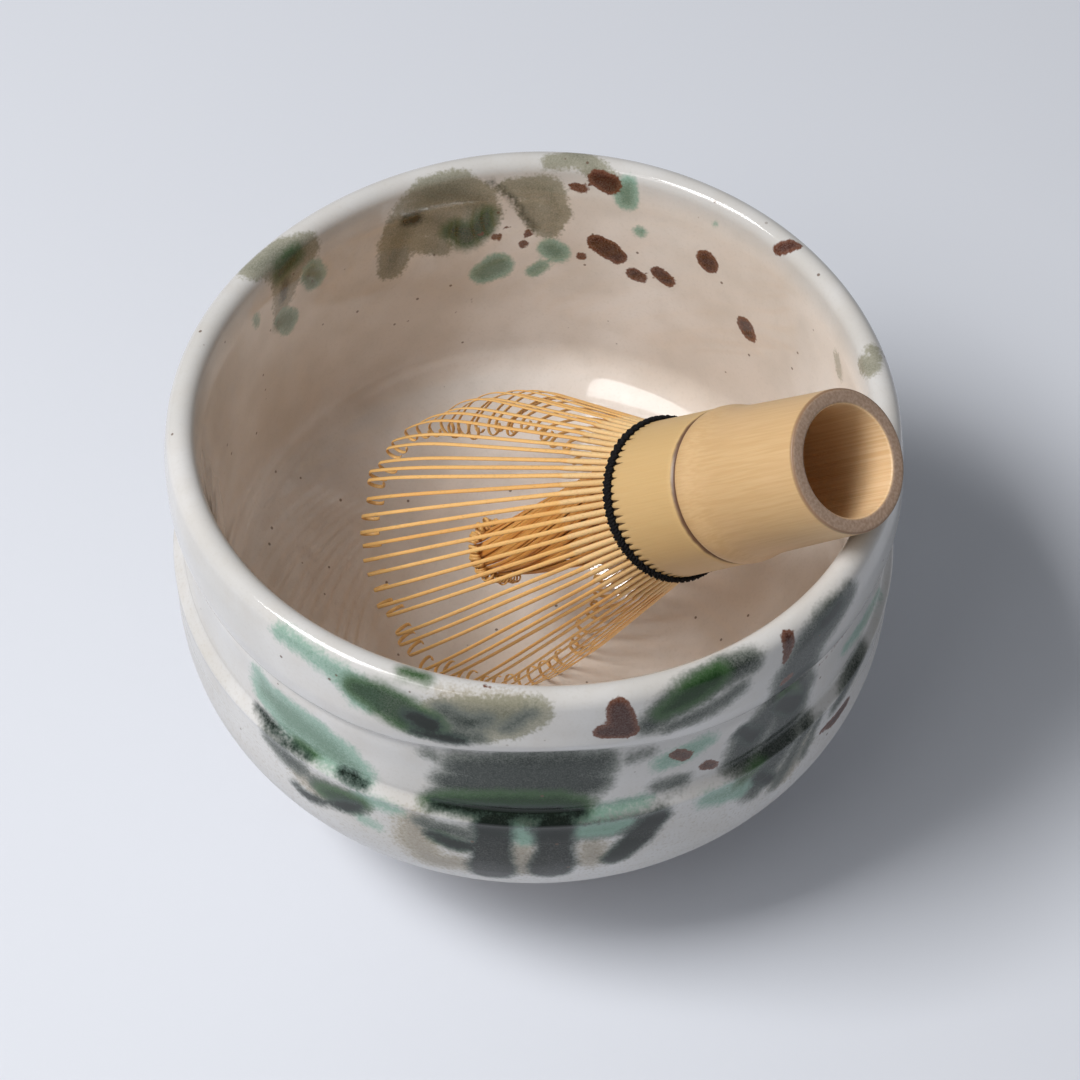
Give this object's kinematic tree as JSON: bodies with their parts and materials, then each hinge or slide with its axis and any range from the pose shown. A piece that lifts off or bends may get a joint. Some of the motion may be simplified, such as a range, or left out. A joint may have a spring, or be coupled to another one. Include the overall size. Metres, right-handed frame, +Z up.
{
  "type": "matcha bowl",
  "caption": "Low cylindrical glazed tea bowl on a trimmed foot, with a bamboo whisk resting in it that lifts out.",
  "frame": {"origin": "centre of the bowl's foot, on the surface that the bowl stands on", "axes": "+Z up out of the bowl's mouth; the whisk's handle leans over the lip towards +X and -Y"},
  "size_m": [0.122, 0.122, 0.1034],
  "materials": {
    "cream_glaze": "gloss",
    "bamboo_culm": "satin",
    "bamboo_tines": "satin",
    "black_cotton": "matte"
  },
  "bodies": {
    "bowl": {"bowl_body": "cream_glaze"},
    "whisk": {"whisk_handle": "bamboo_culm", "binding_thread": "black_cotton", "outer_tines_01": "bamboo_tines", "outer_tines_02": "bamboo_tines", "outer_tines_03": "bamboo_tines", "outer_tines_04": "bamboo_tines", "outer_tines_05": "bamboo_tines", "outer_tines_06": "bamboo_tines", "outer_tines_07": "bamboo_tines", "outer_tines_08": "bamboo_tines", "outer_tines_09": "bamboo_tines", "outer_tines_10": "bamboo_tines", "outer_tines_11": "bamboo_tines", "outer_tines_12": "bamboo_tines", "outer_tines_13": "bamboo_tines", "outer_tines_14": "bamboo_tines", "outer_tines_15": "bamboo_tines", "outer_tines_16": "bamboo_tines", "inner_tines_01": "bamboo_tines", "inner_tines_02": "bamboo_tines", "inner_tines_03": "bamboo_tines", "inner_tines_04": "bamboo_tines", "inner_tines_05": "bamboo_tines", "inner_tines_06": "bamboo_tines", "inner_tines_07": "bamboo_tines", "inner_tines_08": "bamboo_tines"}
  },
  "joints": [
    {"name": "whisk_lift", "type": "slide", "parent": "bowl", "child": "whisk", "axis": [0, 0, 1], "range_m": [0, 0.12]}
  ]
}
